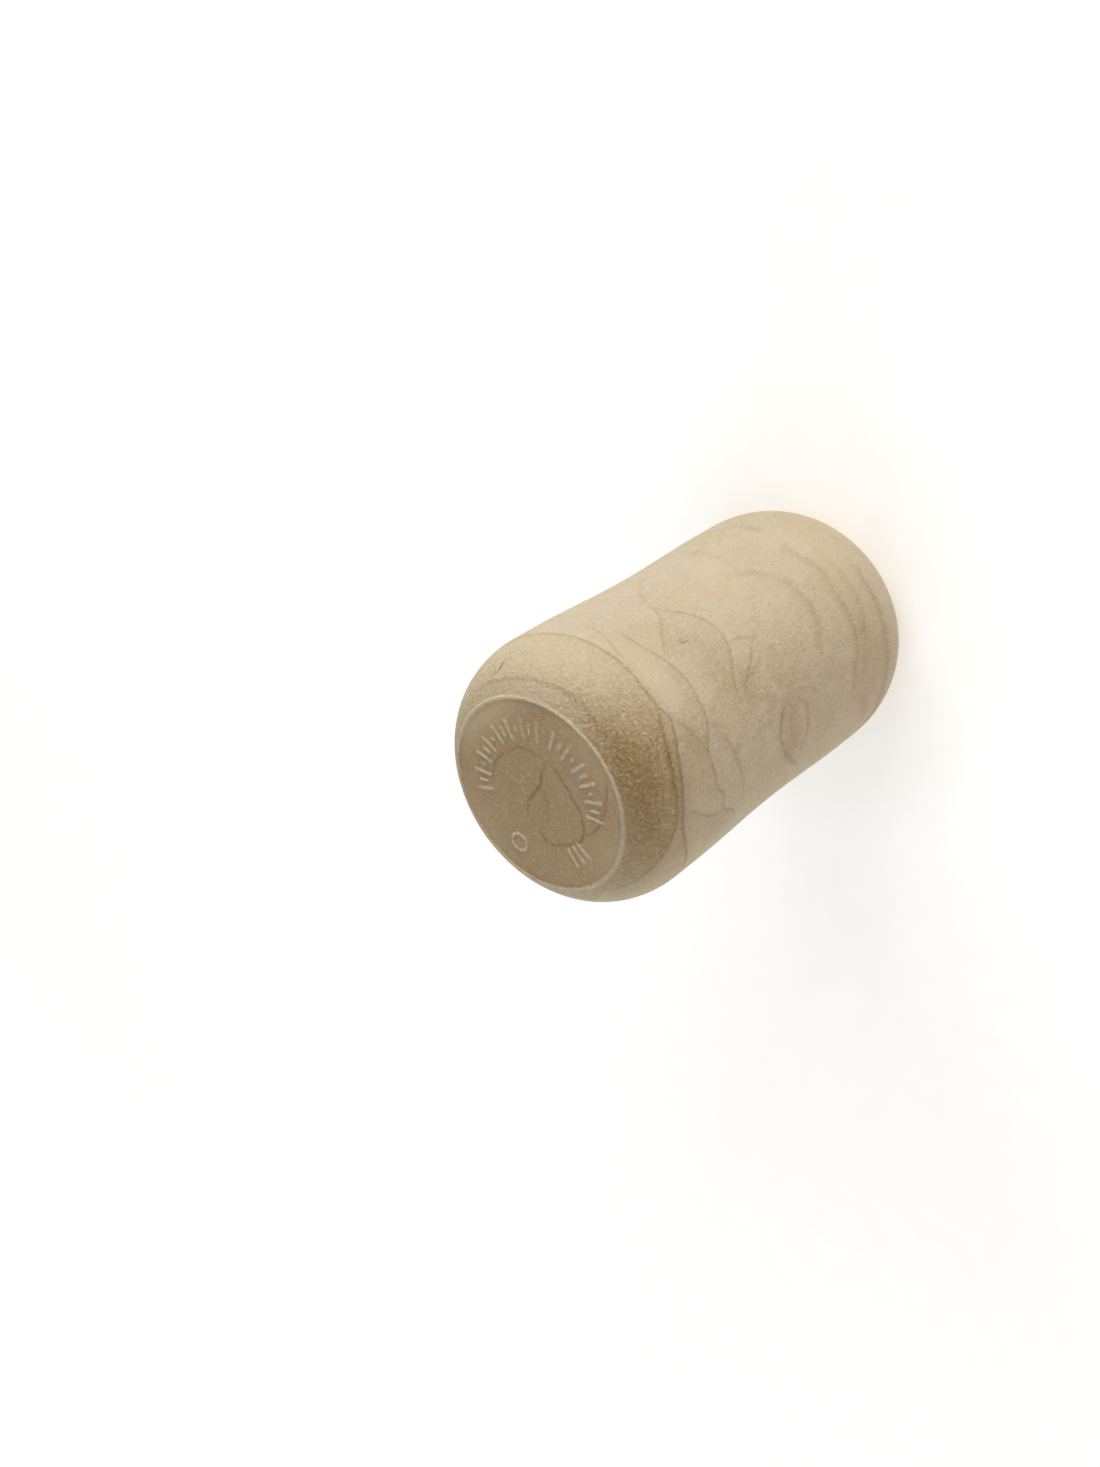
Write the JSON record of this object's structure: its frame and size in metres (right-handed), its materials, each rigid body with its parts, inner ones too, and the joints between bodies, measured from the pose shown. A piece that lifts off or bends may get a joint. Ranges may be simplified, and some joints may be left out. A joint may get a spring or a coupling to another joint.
{
  "type": "synthetic wine cork",
  "caption": "One-piece moulded foam elastomer stopper with rounded shoulders, a slightly waisted side, a flat disc end with plain raised ticks and a dished smooth end.",
  "frame": {"origin": "centre of the seat ring of the smooth end, on the surface that the cork stands on", "axes": "+Z along the cork's axis, from the smooth dished end up to the marked disc; +X and +Y across it"},
  "size_m": [0.0216, 0.0216, 0.038],
  "materials": {
    "elastomer": "matte, fine-grained skin of foamed thermoplastic elastomer, faint flow lines"
  },
  "bodies": {
    "root": {"cork": "elastomer"}
  },
  "joints": []
}
